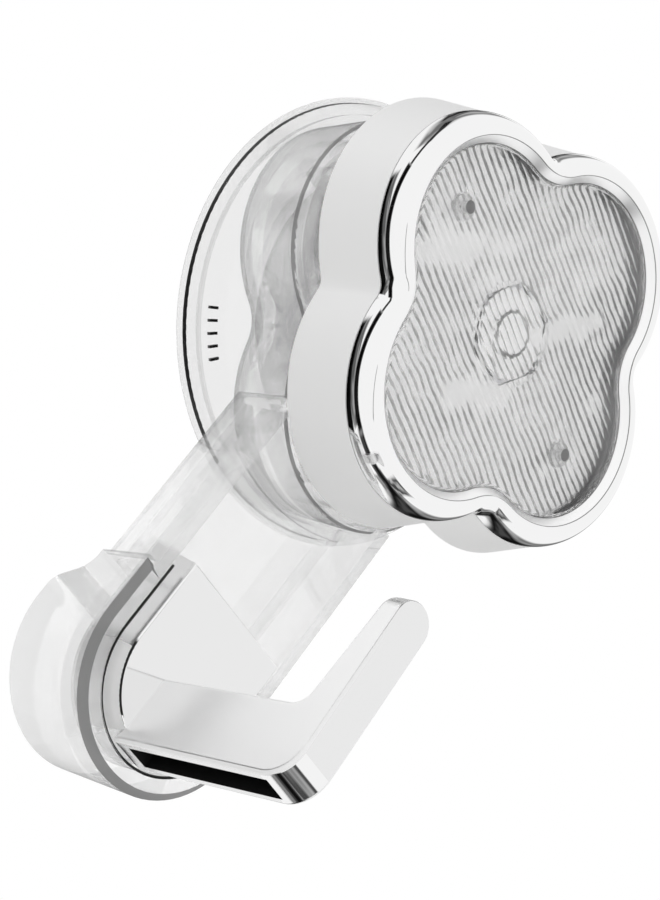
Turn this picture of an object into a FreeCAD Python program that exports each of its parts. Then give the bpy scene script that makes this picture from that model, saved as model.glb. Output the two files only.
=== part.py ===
"""Suction cup hook: a clear cup and housing, a turning clover knob and a plated J-shaped hook.

The wall is the plane Y = 0 and the object stands out from it along -Y. Z runs up the wall. The
origin is the centre of the cup's face on the wall. All sizes are in millimetres, and every depth
is counted outwards from the wall.
"""
import FreeCAD, Part
import math
import os

import Sketcher

Vector = FreeCAD.Vector
doc = FreeCAD.newDocument("suction_cup_hook")

# Driving dimensions
SIZES = {
    # suction cup
    "cup_lip_radius": 32.9,
    "cup_bead_radius": 32.0,
    "cup_band_outer": 30.4,
    "cup_band_inner": 26.2,
    "cup_land_outer": 23.4,
    "cup_land_inner": 20.2,
    "cup_seat_radius": 29.0,
    "cup_lip_depth": 0.15,
    "cup_step_depth": 0.4,
    "cup_bead_depth": 1.1,
    "cup_band_depth": 2.3,
    "cup_land_depth": 4.6,
    "cup_boss_radius": 11.0,
    "cup_boss_depth": 9.0,
    "cup_hollow_depth": 2.4,
    # stud that the knob pulls on
    "stud_radius": 4.0,
    "stud_flange_radius": 9.5,
    "stud_flange_rear": 4.0,
    "stud_flange_front": 5.6,
    "stud_front": 29.0,
    "stud_bore": 1.65,
    "key_width": 2.0,
    "key_floor": 2.9,
    "key_top": 5.4,
    "key_play": 0.1,
    # clover of the housing
    "housing_lobe_distance": 15.1,
    "housing_lobe_radius": 17.1,
    "housing_notch_radius": 5.8,
    "housing_rear": 6.8,
    "housing_step": 18.6,
    "housing_front": 21.8,
    "housing_draft": 4.4,
    "neck_lobe_radius": 16.2,
    "housing_wall": 2.0,
    "skirt_outer": 22.6,
    "skirt_wall": 1.8,
    "tower_radius": 8.4,
    "tower_rear": 9.8,
    "stud_hole": 4.1,
    "rib_width": 1.4,
    "rib_rear": 12.6,
    # arm and its U-shaped end
    "arm_half": 13.8,
    "arm_rear": 9.1,
    "arm_front": 19.6,
    "arm_top": 27.0,
    "arm_floor_rear": 11.4,
    "arm_floor_front": 13.4,
    "channel_half": 12.0,
    "end_rear_half": 14.6,
    "end_centre": 65.6,
    "end_top": 57.3,
    "end_bevel": 19.1,
    "end_front": 20.1,
    "end_draft": 2.2,
    "end_bevel_angle": 47.0,
    "seat_chamfer": 0.25,
    "foot_rear": 3.5,
    "foot_roof_front": 59.8,
    "foot_roof_rear": 62.6,
    "foot_fillet": 3.4,
    "foot_round": 2.2,
    # knob
    "knob_turn": -12.5,
    "knob_lobe_distance": 14.3,
    "knob_rear_lobe": 19.6,
    "knob_front_lobe": 17.65,
    "knob_notch_radius": 2.4,
    "knob_rear": 22.2,
    "knob_front": 31.3,
    "knob_wall": 1.7,
    "knob_web_rear": 27.2,
    "knob_web_front": 29.4,
    "knob_recess_lobe": 15.6,
    "hub_radius": 9.6,
    "hub_rear": 22.65,
    "hub_bore": 4.3,
    "nut_rear": 23.8,
    "nut_front": 28.6,
    "nut_radius": 7.3,
    "nut_bore": 4.05,
    "nut_play": 0.1,
    # what shows in the knob's face
    "ring_lobe": 17.65,
    "ring_notch_radius": 2.4,
    "ring_crest": 35.2,
    "ring_round": 2.6,
    "ring_bevel": 1.1,
    "ring_lip_rear": 33.4,
    "window_distance": 13.7,
    "window_lobe": 13.8,
    "window_notch_radius": 9.0,
    "lens_lobe": 15.2,
    "lens_play": 0.15,
    "lens_rear": 31.3,
    "lens_front": 33.95,
    "flute_pitch": 1.15,
    "flute_depth": 0.45,
    "reflector_front": 30.2,
    "reflector_hole": 7.4,
    "lens_boss_radius": 1.8,
    "lens_boss_rear": 29.5,
    "screw_distance": 19.8,
    # washers and screws
    "thrust_inner": 5.2,
    "thrust_outer": 9.0,
    "thrust_front": 22.6,
    "end_washer_radius": 6.3,
    "end_washer_front": 29.8,
    "end_screw_head": 3.3,
    "end_screw_front": 31.0,
    "end_screw_radius": 1.6,
    "end_screw_length": 9.0,
    "lens_screw_head": 1.7,
    "lens_screw_radius": 0.9,
    "lens_screw_rear": 26.2,
    "lens_screw_front": 33.2,
    "screw_play": 0.05,
    # hook
    "plate_half": 11.6,
    "plate_front": 21.5,
    "plate_top": 52.3,
    "plate_draft": 9.1,
    "plate_wall": 2.4,
    "plate_edge": 0.3,
    "band_half": 3.2,
    "band_top_root": 66.9,
    "band_top_bend": 65.5,
    "band_bottom_root": 77.2,
    "band_bottom_bend": 75.8,
    "upright_rear_low": 46.4,
    "upright_rear_high": 47.5,
    "upright_front_low": 52.1,
    "upright_front_high": 51.0,
    "upright_top": 46.7,
    "tip_round": 3.1,
    "bend_inside": 2.2,
    "bend_outside": 4.6,
    "slot_half": 1.9,
    "slot_rear": 22.6,
    "slot_front": 48.0,
    "slot_floor": 69.6,
    "edge_round": 0.6,
}

dims = doc.addObject("Spreadsheet::Sheet", "dims")
for row, (alias, value) in enumerate(SIZES.items(), start=1):
    dims.set("A%d" % row, alias)
    dims.set("B%d" % row, str(value))
    dims.setAlias("B%d" % row, alias)
doc.recompute()


class Dim:
    """A dimension: its formula, for the sheet, and the value that the formula has now."""

    def __init__(self, text, value):
        self.text = text
        self.value = float(value)

    def joined(self, sign, other, value):
        return Dim("(%s %s %s)" % (self.text, sign, other.text), value)

    def __add__(self, other):
        other = dim(other)
        return self.joined("+", other, self.value + other.value)

    def __sub__(self, other):
        other = dim(other)
        return self.joined("-", other, self.value - other.value)

    def __mul__(self, other):
        other = dim(other)
        return self.joined("*", other, self.value * other.value)

    def __truediv__(self, other):
        other = dim(other)
        return self.joined("/", other, self.value / other.value)

    def __neg__(self):
        return Dim("(-1 * %s)" % self.text, -self.value)


def dim(source):
    """A dimension from an alias of the sheet, a plain number, or a dimension as it is."""
    if isinstance(source, Dim):
        return source
    if isinstance(source, str):
        return Dim("dims.%s" % source, dims.get(source))
    return Dim("%g" % source, source)


def turned(distance, degrees, quarter):
    """Across and up of a point at a distance from the axis, in the given quarter of a clover."""
    angle = math.radians(dim(degrees).value + 90.0 * quarter)
    text = "(%s + %d) * 1deg" % (dim(degrees).text, 90 * quarter)
    across = Dim("%s * cos(%s)" % (dim(distance).text, text), dim(distance).value * math.cos(angle))
    up = Dim("%s * sin(%s)" % (dim(distance).text, text), dim(distance).value * math.sin(angle))
    return across, up


def new_body(name):
    body = doc.addObject("PartDesign::Body", name)
    body.Label = name
    return body


def new_sketch(body, name, plane="XZ_Plane", offset=0.0):
    """A sketch on one of the body's origin planes, moved along the plane's normal by the offset.

    On XZ_Plane the normal is -Y, so the offset is the depth from the wall.
    """
    sketch = body.newObject("Sketcher::SketchObject", name)
    support = [part for part in body.Origin.OriginFeatures if part.Role == plane][0]
    sketch.AttachmentSupport = [(support, "")]
    sketch.MapMode = "FlatFace"
    sketch.AttachmentOffset = FreeCAD.Placement(Vector(0, 0, dim(offset).value), FreeCAD.Rotation())
    sketch.setExpression("AttachmentOffset.Base.z", dim(offset).text)
    return sketch


def bind(sketch, kind, *where):
    """Add one size to a sketch; the last argument is the dimension that drives it."""
    size = dim(where[-1])
    index = sketch.addConstraint(Sketcher.Constraint(kind, *where[:-1], size.value))
    sketch.setExpression("Constraints[%d]" % index, size.text)


def place_point(sketch, element, point, across, up):
    bind(sketch, "DistanceX", -1, 1, element, point, across)
    bind(sketch, "DistanceY", -1, 1, element, point, up)


def draw_circle(sketch, radius, across=0.0, up=0.0):
    centre = Vector(dim(across).value, dim(up).value, 0)
    circle = sketch.addGeometry(Part.Circle(centre, Vector(0, 0, 1), dim(radius).value))
    place_point(sketch, circle, 3, across, up)
    bind(sketch, "Radius", circle, radius)


def draw_polygon(sketch, corners):
    """A closed outline of straight lines through corners given as (across, up)."""
    spots = [Vector(dim(across).value, dim(up).value, 0) for across, up in corners]
    lines = []
    for start, end in zip(spots, spots[1:] + spots[:1]):
        lines.append(sketch.addGeometry(Part.LineSegment(start, end)))
    for line, following in zip(lines, lines[1:] + lines[:1]):
        sketch.addConstraint(Sketcher.Constraint("Coincident", line, 2, following, 1))
    for line, (across, up) in zip(lines, corners):
        place_point(sketch, line, 1, across, up)


def draw_box(sketch, left, right, low, high):
    draw_polygon(sketch, [(left, low), (right, low), (right, high), (left, high)])


def draw_u(sketch, half, centre, top):
    """A U lying open side up: two straight sides, a half circle below and a straight top."""
    half, centre, top = dim(half), dim(centre), dim(top)
    width, low, high = half.value, centre.value, top.value
    left = sketch.addGeometry(Part.LineSegment(Vector(-width, high, 0), Vector(-width, low, 0)))
    circle = Part.Circle(Vector(0, low, 0), Vector(0, 0, 1), width)
    bottom = sketch.addGeometry(Part.ArcOfCircle(circle, math.pi, 2 * math.pi))
    right = sketch.addGeometry(Part.LineSegment(Vector(width, low, 0), Vector(width, high, 0)))
    lid = sketch.addGeometry(Part.LineSegment(Vector(width, high, 0), Vector(-width, high, 0)))
    sketch.addConstraint(Sketcher.Constraint("Tangent", left, 2, bottom, 1))
    sketch.addConstraint(Sketcher.Constraint("Tangent", bottom, 2, right, 1))
    sketch.addConstraint(Sketcher.Constraint("Coincident", right, 2, lid, 1))
    sketch.addConstraint(Sketcher.Constraint("Coincident", lid, 2, left, 1))
    sketch.addConstraint(Sketcher.Constraint("Vertical", left))
    sketch.addConstraint(Sketcher.Constraint("Vertical", right))
    sketch.addConstraint(Sketcher.Constraint("Horizontal", lid))
    place_point(sketch, bottom, 3, 0.0, centre)
    bind(sketch, "Radius", bottom, half)
    bind(sketch, "DistanceY", -1, 1, lid, 1, top)


def draw_clover(sketch, distance, lobe, notch, turn=0.0):
    """Four lobes joined by hollow arcs, every arc tangent to the next."""
    distance, lobe, notch, turn = dim(distance), dim(lobe), dim(notch), dim(turn)
    reach = distance.value * math.cos(math.pi / 4)
    span = (lobe.value + notch.value) ** 2 - distance.value ** 2
    hollow = reach + math.sqrt(reach ** 2 + span)
    swing = math.atan2(hollow * math.sin(math.pi / 4), hollow * math.cos(math.pi / 4) - distance.value)
    lobes, notches = [], []
    for quarter in range(4):
        base = math.radians(turn.value) + quarter * math.pi / 2
        centre = Vector(distance.value * math.cos(base), distance.value * math.sin(base), 0)
        circle = Part.Circle(centre, Vector(0, 0, 1), lobe.value)
        lobes.append(sketch.addGeometry(Part.ArcOfCircle(circle, base - swing, base + swing)))
        middle = base + math.pi / 4
        centre = Vector(hollow * math.cos(middle), hollow * math.sin(middle), 0)
        circle = Part.Circle(centre, Vector(0, 0, 1), notch.value)
        start, end = base + 1.5 * math.pi - swing, base + math.pi + swing
        notches.append(sketch.addGeometry(Part.ArcOfCircle(circle, start, end)))
    for quarter in range(4):
        following = lobes[(quarter + 1) % 4]
        sketch.addConstraint(Sketcher.Constraint("Tangent", lobes[quarter], 2, notches[quarter], 2))
        sketch.addConstraint(Sketcher.Constraint("Tangent", notches[quarter], 1, following, 1))
        across, up = turned(distance, turn, quarter)
        place_point(sketch, lobes[quarter], 3, across, up)
        bind(sketch, "Radius", lobes[quarter], lobe)
        bind(sketch, "Radius", notches[quarter], notch)


def extrude(body, kind, name, sketch, length, taper=None, reverse=False):
    """A Pad or a Pocket of a sketch; a Pad grows along the sketch's normal, a Pocket against it."""
    feature = body.newObject("PartDesign::" + kind, name)
    feature.Profile = sketch
    feature.Reversed = reverse
    feature.setExpression("Length", dim(length).text)
    if taper is not None:
        feature.setExpression("TaperAngle", dim(taper).text)
    sketch.Visibility = False
    doc.recompute()
    return feature


def pad_between(body, name, draw, rear, front, taper=None):
    """Material between two depths from the wall, in the outline that draw(sketch) makes."""
    sketch = new_sketch(body, name + "_outline", offset=rear)
    draw(sketch)
    return extrude(body, "Pad", name, sketch, dim(front) - dim(rear), taper)


def loft_between(body, name, draw_rear, draw_front, rear, front, kind="AdditiveLoft"):
    """Straight-sided material, or a hollow, between two outlines at two depths from the wall."""
    sketches = []
    for label, draw, depth in (("_rear", draw_rear, rear), ("_front", draw_front, front)):
        sketch = new_sketch(body, name + label, offset=depth)
        draw(sketch)
        sketch.Visibility = False
        sketches.append(sketch)
    feature = body.newObject("PartDesign::" + kind, name)
    feature.Profile = sketches[0]
    feature.Sections = sketches[1:]
    feature.Ruled = True
    doc.recompute()
    return feature


def pocket_between(body, name, draw, rear, front, taper=None):
    """A hollow between two depths from the wall."""
    before = body.Shape.Volume
    sketch = new_sketch(body, name + "_outline", offset=rear)
    draw(sketch)
    feature = extrude(body, "Pocket", name, sketch, dim(front) - dim(rear), taper, reverse=True)
    if body.Shape.Volume > before - 1e-6:
        raise RuntimeError("%s cut nothing" % name)
    return feature


def pattern_round(body, name, feature, count):
    """Copies of a feature round the Y axis."""
    pattern = body.newObject("PartDesign::PolarPattern", name)
    pattern.Originals = [feature]
    axis = [part for part in body.Origin.OriginFeatures if part.Role == "Y_Axis"][0]
    pattern.Axis = (axis, [""])
    pattern.Angle = 360
    pattern.Occurrences = count
    body.Tip = pattern
    doc.recompute()
    return pattern


def round_edges(body, name, size, chosen, kind="Fillet"):
    """Fillet or chamfer the edges of the body's present shape for which chosen(edge) is true."""
    base = body.Tip
    names = []
    for index, edge in enumerate(base.Shape.Edges, start=1):
        if chosen(edge):
            names.append("Edge%d" % index)
    if not names:
        raise RuntimeError("%s found no edges" % name)
    feature = body.newObject("PartDesign::" + kind, name)
    feature.Base = (base, names)
    feature.setExpression("Radius" if kind == "Fillet" else "Size", dim(size).text)
    doc.recompute()
    return feature


def at_depth(edge, depth, slack=0.01):
    """Whether a whole edge lies at one depth from the wall."""
    box = edge.BoundBox
    return abs(box.YMin + dim(depth).value) < slack and abs(box.YMax + dim(depth).value) < slack


def farthest(edge):
    """Distance from the knob's axis to the farthest point of an edge."""
    return max(math.hypot(point.x, point.z) for point in edge.discretize(7))


def build_suction_cup():
    """Clear soft cup: thin lip, stepped back, a land for the housing and a boss round the stud."""
    body = new_body("suction_cup")
    sketch = new_sketch(body, "cup_section", plane="XY_Plane")
    seat, hollow = dim("cup_seat_radius"), dim("cup_hollow_depth")
    corners = [
        (0.0, -hollow),
        (seat * 0.55, -hollow * 0.72),
        (seat, 0.0),
        ("cup_lip_radius", 0.0),
        ("cup_lip_radius", -dim("cup_lip_depth")),
        (dim("cup_bead_radius") + 0.15, -dim("cup_step_depth")),
        ("cup_bead_radius", -dim("cup_bead_depth")),
        ("cup_band_outer", -dim("cup_bead_depth")),
        ("cup_band_outer", -dim("cup_band_depth")),
        ("cup_band_inner", -dim("cup_band_depth")),
        ("cup_land_outer", -dim("cup_land_depth")),
        ("cup_land_inner", -dim("cup_land_depth")),
        (dim("cup_boss_radius") + 1.0, -dim("stud_flange_front") - 0.8),
        ("cup_boss_radius", -dim("cup_boss_depth")),
        ("stud_radius", -dim("cup_boss_depth")),
        ("stud_radius", -dim("stud_flange_front")),
        ("stud_flange_radius", -dim("stud_flange_front")),
        ("stud_flange_radius", -dim("stud_flange_rear")),
        (0.0, -dim("stud_flange_rear")),
    ]
    draw_polygon(sketch, corners)
    turn = body.newObject("PartDesign::Revolution", "cup_turned")
    turn.Profile = sketch
    turn.ReferenceAxis = (sketch, ["V_Axis"])
    turn.Angle = 360
    sketch.Visibility = False
    doc.recompute()
    bead = dim("cup_bead_depth").value
    round_edges(body, "bead_round", 0.2, lambda edge: at_depth(edge, bead) and farthest(edge) > 31.5)
    return body


def build_pull_stud():
    """Steel stud moulded into the cup: a flange, a shaft with a keyway and a bore for its screw."""
    body = new_body("pull_stud")
    pad_between(body, "flange", lambda sketch: draw_circle(sketch, "stud_flange_radius"),
                "stud_flange_rear", "stud_flange_front")
    pad_between(body, "shaft", lambda sketch: draw_circle(sketch, "stud_radius"),
                "stud_flange_front", "stud_front")
    half = dim("key_width") / 2
    keyway = lambda sketch: draw_box(sketch, -half, half, "key_floor", "key_top")
    pocket_between(body, "keyway", keyway, "tower_rear", dim("housing_front") + 0.6)
    depth = dim("end_screw_length") + 1.0
    pocket_between(body, "screw_bore", lambda sketch: draw_circle(sketch, "stud_bore"),
                   dim("stud_front") - depth, "stud_front")
    return body


def build_housing():
    """One clear moulding: the clover housing, the arm with its rails, and the U-shaped end."""
    body = new_body("housing")
    # U-shaped end, from the foot near the wall to the bevelled rim round the hook's plate
    end_u = lambda sketch: draw_u(sketch, "end_rear_half", -dim("end_centre"), -dim("end_top"))
    pad_between(body, "end_block", end_u, "foot_rear", "end_bevel", "end_draft")
    rim_half = dim("end_rear_half") + 0.6
    rim_u = lambda sketch: draw_u(sketch, rim_half, -dim("end_centre"), -dim("end_top"))
    pad_between(body, "end_rim", rim_u, "end_bevel", "end_front", -dim("end_bevel_angle"))
    # arm strip between the housing and the end
    strip = lambda sketch: draw_box(sketch, -dim("arm_half"), "arm_half",
                                    -dim("end_top") - 1.5, -dim("arm_top"))
    pad_between(body, "arm_strip", strip, "arm_rear", "arm_front")
    # the back of the arm stands clear of the wall, and a sloping roof leads down to the foot
    behind = new_sketch(body, "arm_back_profile", plane="YZ_Plane", offset=-20.0)
    draw_polygon(behind, [
        (-dim("arm_rear"), -dim("arm_top") + 2.0),
        (-dim("arm_rear"), -dim("foot_roof_front")),
        (-dim("foot_rear"), -dim("foot_roof_rear")),
        (2.0, -dim("foot_roof_rear")),
        (2.0, -dim("arm_top") + 2.0),
    ])
    extrude(body, "Pocket", "arm_back", behind, 40.0, reverse=True)
    roof_front, roof_rear = dim("foot_roof_front").value, dim("foot_roof_rear").value
    round_edges(body, "foot_fillet", "foot_fillet",
                lambda edge: level_edge(edge, "arm_rear", roof_front))
    round_edges(body, "foot_round", "foot_round",
                lambda edge: level_edge(edge, "foot_rear", roof_rear))
    # open channel in front, between the rails, and the seat of the hook's plate
    channel = lambda sketch: draw_u(sketch, "channel_half", -dim("end_centre"), -dim("arm_top") + 1.0)
    pocket_between(body, "front_channel", channel, "arm_floor_front", dim("end_front") + 1.0)
    # lead-in chamfer round the mouth of the seat
    mouth = dim("end_front")
    seat_half = dim("channel_half").value + 0.05
    round_edges(body, "seat_chamfer", "seat_chamfer",
                lambda edge: at_depth(edge, mouth) and edge.BoundBox.XMax < seat_half
                and edge.BoundBox.XMin > -seat_half, kind="Chamfer")
    # hollow behind the floor of the arm; the foot below it is solid
    back = lambda sketch: draw_box(sketch, -dim("channel_half"), "channel_half",
                                   -dim("end_top") + 0.5, -dim("arm_top") + 1.0)
    pocket_between(body, "rear_channel", back, dim("arm_rear") - 1.0, "arm_floor_rear")
    # clover housing with a narrower neck in front
    pad_between(body, "clover_wall",
                lambda sketch: draw_clover(sketch, "housing_lobe_distance", "housing_lobe_radius",
                                           "housing_notch_radius"),
                "housing_rear", "housing_step", "housing_draft")
    pad_between(body, "clover_neck",
                lambda sketch: draw_clover(sketch, "housing_lobe_distance", "neck_lobe_radius",
                                           "housing_notch_radius"),
                "housing_step", "housing_front")
    inner = dim("housing_lobe_radius") - dim("housing_wall")
    pocket_between(body, "clover_hollow",
                   lambda sketch: draw_clover(sketch, "housing_lobe_distance", inner,
                                              dim("housing_notch_radius") + 1.0),
                   "housing_rear", dim("housing_step") - dim("housing_wall"), 2.0)
    inner = dim("neck_lobe_radius") - dim("housing_wall")
    pocket_between(body, "neck_hollow",
                   lambda sketch: draw_clover(sketch, "housing_lobe_distance", inner,
                                              dim("housing_notch_radius") + 1.0),
                   "housing_rear", dim("housing_front") - dim("housing_wall"))
    # skirt that presses the cup's land, and the tower that guides the stud
    inside = dim("housing_front") - dim("housing_wall")
    skirt_bore = dim("skirt_outer") - dim("skirt_wall")

    def draw_skirt(sketch):
        draw_circle(sketch, "skirt_outer")
        draw_circle(sketch, skirt_bore)

    pad_between(body, "skirt", draw_skirt, "cup_land_depth", inside)
    pad_between(body, "tower", lambda sketch: draw_circle(sketch, "tower_radius"),
                "tower_rear", inside)
    # ribs from the tower to the skirt, and from the skirt into the lobes
    rib_half = dim("rib_width") / 2
    inner_rib = lambda sketch: draw_box(sketch, -rib_half, rib_half,
                                        dim("tower_radius") - 0.6, skirt_bore + 0.4)
    rib = pad_between(body, "inner_rib", inner_rib, "rib_rear", inside)
    pattern_round(body, "inner_ribs", rib, 8)
    lobe_reach = dim("housing_lobe_distance") + dim("neck_lobe_radius") - dim("housing_wall") + 0.4
    lobe_rib = lambda sketch: draw_box(sketch, -rib_half, rib_half,
                                       dim("skirt_outer") - 0.4, lobe_reach)
    rib = pad_between(body, "lobe_rib", lobe_rib, "rib_rear", inside)
    pattern_round(body, "lobe_ribs", rib, 4)
    # hole for the stud, with the key that stops the stud from turning
    pocket_between(body, "stud_hole", lambda sketch: draw_circle(sketch, "stud_hole"),
                   dim("tower_rear") - 1.0, dim("housing_front") + 1.0)
    key_half = dim("key_width") / 2 - dim("key_play")
    key = lambda sketch: draw_box(sketch, -key_half, key_half,
                                  dim("key_floor") + dim("key_play"), "key_top")
    pad_between(body, "stud_key", key, "tower_rear", "housing_front")
    # moulded edges of the step between the clover's wall and its neck
    round_edges(body, "step_round", "edge_round",
                lambda edge: at_depth(edge, "housing_step") and farthest(edge) < 34.0
                and clover_outer(edge, "housing_step"))
    return body


def level_edge(edge, depth, drop):
    """Whether an edge runs across the arm (along X) at a depth from the wall and a drop."""
    box = edge.BoundBox
    level = abs(box.YMin + dim(depth).value) < 0.05 and abs(box.ZMin + drop) < 0.05
    return level and box.XLength > 10 and box.YLength < 0.01 and box.ZLength < 0.01


def clover_outer(edge, depth):
    """Whether an edge at a depth belongs to the outside of the drafted clover wall."""
    rise = dim(depth).value - dim("housing_rear").value
    lobe = dim("housing_lobe_radius").value + rise * math.tan(math.radians(dim("housing_draft").value))
    distance = dim("housing_lobe_distance").value
    for point in edge.discretize(5):
        gaps = []
        for quarter in range(4):
            angle = quarter * math.pi / 2
            across, up = distance * math.cos(angle), distance * math.sin(angle)
            gaps.append(abs(math.hypot(point.x - across, point.z - up) - lobe))
        if min(gaps) > 0.02:
            return False
    return True


def build_thrust_washer():
    """Slippery plastic washer that the turning knob bears on."""
    body = new_body("thrust_washer")

    def draw_ring(sketch):
        draw_circle(sketch, "thrust_outer")
        draw_circle(sketch, "thrust_inner")

    pad_between(body, "ring", draw_ring, "housing_front", "thrust_front")
    return body


def knob_clover(lobe, notch="knob_notch_radius", distance="knob_lobe_distance"):
    """A drawing function for a clover that is turned as the knob is in the photograph."""
    return lambda sketch: draw_clover(sketch, distance, lobe, notch, "knob_turn")


def screw_spots(distance):
    """The two places, in opposite lobes, of the screws that hold the lens."""
    return [turned(distance, "knob_turn", quarter) for quarter in (0, 2)]


def build_knob():
    """Plated clover cap: flared skirt, web, hub with a hexagon seat for the nut, and ribs."""
    body = new_body("knob")
    rear_lobe = dim("knob_rear_lobe")
    loft_between(body, "skirt", knob_clover(rear_lobe), knob_clover("knob_front_lobe"),
                 "knob_rear", "knob_front")
    hollow_front = rear_lobe - dim("knob_wall") - 1.0
    loft_between(body, "rear_hollow", knob_clover(rear_lobe - dim("knob_wall")),
                 knob_clover(hollow_front), "knob_rear", "knob_web_rear", "SubtractiveLoft")
    pocket_between(body, "front_recess", knob_clover("knob_recess_lobe"),
                   "knob_web_front", dim("knob_front") + 1.0)
    pad_between(body, "hub", lambda sketch: draw_circle(sketch, "hub_radius"),
                "hub_rear", "knob_web_rear")
    half = dim("rib_width") / 2
    reach = dim("knob_lobe_distance") + dim("knob_recess_lobe")
    spoke = lambda sketch: draw_box(sketch, -half, half, dim("hub_radius") - 0.5,
                                    reach - 7.6)
    rib = pad_between(body, "web_rib", spoke, dim("knob_web_rear") - 2.6, "knob_web_rear")
    pattern_round(body, "web_ribs", rib, 8)
    pocket_between(body, "hub_bore", lambda sketch: draw_circle(sketch, "hub_bore"),
                   dim("hub_rear") - 0.5, "knob_web_front")
    seat = dim("nut_radius") + dim("nut_play")
    pocket_between(body, "nut_seat", lambda sketch: draw_hexagon(sketch, seat),
                   "nut_rear", dim("knob_web_front") + 0.2)
    for number, (across, up) in enumerate(screw_spots("screw_distance"), start=1):
        bore = lambda sketch: draw_circle(sketch, dim("lens_screw_radius") + dim("screw_play"),
                                          across, up)
        pocket_between(body, "screw_bore_%d" % number, bore,
                       dim("knob_web_rear") - 0.4, dim("knob_web_front") + 0.2)
    return body


def draw_hexagon(sketch, radius):
    """A regular hexagon about the axis, with a flat at the top."""
    corners = []
    for step in range(6):
        angle = math.radians(60 * step)
        corners.append((dim(radius) * round(math.cos(angle), 9), dim(radius) * round(math.sin(angle), 9)))
    draw_polygon(sketch, corners)


def build_knob_nut():
    """Plated steel nut that lies in the knob's hexagon seat and runs on the stud."""
    body = new_body("knob_nut")

    def draw_nut(sketch):
        draw_hexagon(sketch, "nut_radius")
        draw_circle(sketch, "nut_bore")

    pad_between(body, "hexagon", draw_nut, "nut_rear", "nut_front")
    return body


def build_reflector():
    """Bright plate behind the lens, open in the middle over the end of the stud."""
    body = new_body("reflector_plate")
    lobe = dim("knob_recess_lobe") - dim("lens_play")
    pad_between(body, "plate", knob_clover(lobe), "knob_web_front", "reflector_front")
    pocket_between(body, "middle_hole", lambda sketch: draw_circle(sketch, "reflector_hole"),
                   "knob_web_front", dim("reflector_front") + 0.2)
    for number, (across, up) in enumerate(screw_spots("screw_distance"), start=1):
        hole = lambda sketch: draw_circle(sketch, dim("lens_boss_radius") + 0.2, across, up)
        pocket_between(body, "screw_hole_%d" % number, hole,
                       "knob_web_front", dim("reflector_front") + 0.2)
    return body


def build_lens():
    """Clear clover lens, smooth in front, with fine parallel flutes across its back."""
    body = new_body("fluted_lens")
    lobe = dim("lens_lobe") - dim("lens_play")
    pad_between(body, "pane", knob_clover(lobe, "window_notch_radius", "window_distance"),
                "lens_rear", "ring_lip_rear")
    raised = dim("window_lobe") - 0.1
    pad_between(body, "raised_face", knob_clover(raised, "window_notch_radius", "window_distance"),
                "ring_lip_rear", "lens_front")
    # one triangular groove along the knob's turned lobe axis, repeated side by side
    reach = dim("window_distance") + dim("lens_lobe") + 2.0
    count = 2 * int((SIZES["window_distance"] + SIZES["lens_lobe"]) / SIZES["flute_pitch"]) + 1
    span = dim("flute_pitch") * (count - 1)
    sketch = new_sketch(body, "flute_section", plane="YZ_Plane")
    turn = FreeCAD.Rotation(Vector(1, 0, 0), -SIZES["knob_turn"])
    sketch.AttachmentOffset = FreeCAD.Placement(Vector(0, 0, 0), turn)
    sketch.setExpression("AttachmentOffset.Rotation.Angle", "-1deg * dims.knob_turn")
    half = dim("flute_pitch") * 0.46
    start = -span / 2
    rear = -dim("lens_rear")
    draw_polygon(sketch, [(rear + 0.05, start - half), (rear - dim("flute_depth"), start),
                          (rear + 0.05, start + half)])
    flute = extrude(body, "Pocket", "flute", sketch, reach * 2)
    flute.SideType = "Symmetric"
    doc.recompute()
    pattern = body.newObject("PartDesign::LinearPattern", "flutes")
    pattern.Originals = [flute]
    pattern.Direction = (sketch, ["V_Axis"])
    pattern.setExpression("Length", span.text)
    pattern.Occurrences = count
    body.Tip = pattern
    doc.recompute()
    # bosses on the back, which take the screws
    for number, (across, up) in enumerate(screw_spots("screw_distance"), start=1):
        boss = lambda sketch: draw_circle(sketch, "lens_boss_radius", across, up)
        pad_between(body, "boss_%d" % number, boss, "lens_boss_rear", dim("lens_rear") + 0.8)
        bore = lambda sketch: draw_circle(sketch, dim("lens_screw_radius") + dim("screw_play"),
                                          across, up)
        pocket_between(body, "boss_bore_%d" % number, bore,
                       dim("lens_boss_rear") - 0.2, dim("lens_screw_front") + 0.1)
    return body


def build_trim_ring():
    """Plated ring round the lens: rounded outside, bevelled inside, with a rebate for the lens."""
    body = new_body("trim_ring")
    pad_between(body, "ring_block", knob_clover("ring_lobe", "ring_notch_radius"),
                "knob_front", "ring_crest")
    pocket_between(body, "window", knob_clover("window_lobe", "window_notch_radius",
                                               "window_distance"),
                   "knob_front", dim("ring_crest") + 0.5)
    pocket_between(body, "lens_rebate", knob_clover("lens_lobe", "window_notch_radius",
                                                    "window_distance"),
                   "knob_front", "ring_lip_rear")
    crest = dim("ring_crest")
    round_edges(body, "outer_round", "ring_round",
                lambda edge: at_depth(edge, crest) and outside_window(edge))
    round_edges(body, "inner_bevel", "ring_bevel",
                lambda edge: at_depth(edge, crest) and not outside_window(edge), kind="Chamfer")
    return body


def outside_window(edge):
    """Whether an edge of the ring's front face belongs to its outside, not to the window."""
    turn = math.radians(SIZES["knob_turn"])
    for point in edge.discretize(5):
        inside = False
        for quarter in range(4):
            angle = turn + quarter * math.pi / 2
            across = SIZES["window_distance"] * math.cos(angle)
            up = SIZES["window_distance"] * math.sin(angle)
            if math.hypot(point.x - across, point.z - up) < SIZES["window_lobe"] + 1.0:
                inside = True
        if inside:
            return False
    return True


def build_end_washer():
    """Steel washer on the stud's end, which keeps the knob on."""
    body = new_body("end_washer")

    def draw_ring(sketch):
        draw_circle(sketch, "end_washer_radius")
        draw_circle(sketch, dim("end_screw_radius") + 0.1)

    pad_between(body, "ring", draw_ring, "stud_front", "end_washer_front")
    return body


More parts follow.
